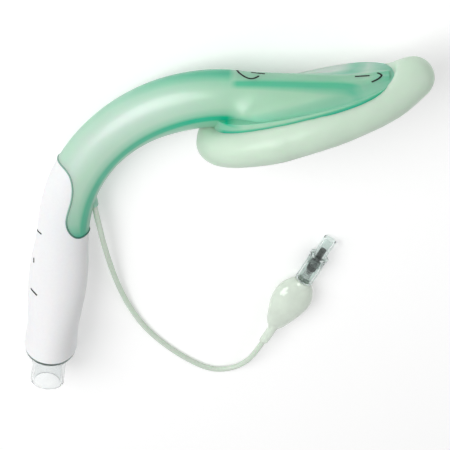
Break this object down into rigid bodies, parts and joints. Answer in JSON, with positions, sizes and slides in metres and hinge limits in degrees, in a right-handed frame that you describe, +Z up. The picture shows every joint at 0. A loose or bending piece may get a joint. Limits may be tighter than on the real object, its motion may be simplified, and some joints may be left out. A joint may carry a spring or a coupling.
{
  "type": "laryngeal mask airway",
  "caption": "Curved airway tube with a white grip and clear 15 mm connector, an inflatable oval mask cuff, and an inflation line to a pilot balloon with a check valve",
  "frame": {"origin": "centre of the device's footprint (tube, grip, connector and cuff) on the surface it lies on", "axes": "+X from the connector end towards the mask tip, +Y towards the outside of the tube's bend, +Z up from the surface; the device lies on its side, the inflation line and balloon lie on the -Y side"},
  "size_m": [0.236, 0.1559, 0.0534],
  "materials": {
    "clear_rigid": "clear rigid plastic",
    "white_grip": "smooth white moulding",
    "green_tube": "translucent green moulding",
    "pale_cuff": "soft translucent pale green",
    "pale_line": "soft translucent pale green",
    "pale_balloon": "thin translucent film",
    "black_plunger": "black moulding",
    "black_seal": "black elastomer",
    "spring_steel": "spring wire"
  },
  "bodies": {
    "device": {"airway_connector": "clear_rigid", "grip": "white_grip", "airway_tube": "green_tube", "cuff": "pale_cuff", "inflation_line": "pale_line", "pilot_balloon": "pale_balloon", "valve_housing": "clear_rigid", "luer_port": "clear_rigid", "valve_spring": "spring_steel"},
    "valve_core": {"valve_plunger": "black_plunger", "valve_seal": "black_seal"}
  },
  "joints": [
    {"name": "valve_core_slide", "type": "slide", "parent": "device", "child": "valve_core", "axis": [-0.9585, -0.2803, 0.0529], "range_m": [0, 0.0017], "stiffness_N_per_m": 400, "springref_m": -0.002, "deforming": ["valve_spring"]}
  ]
}
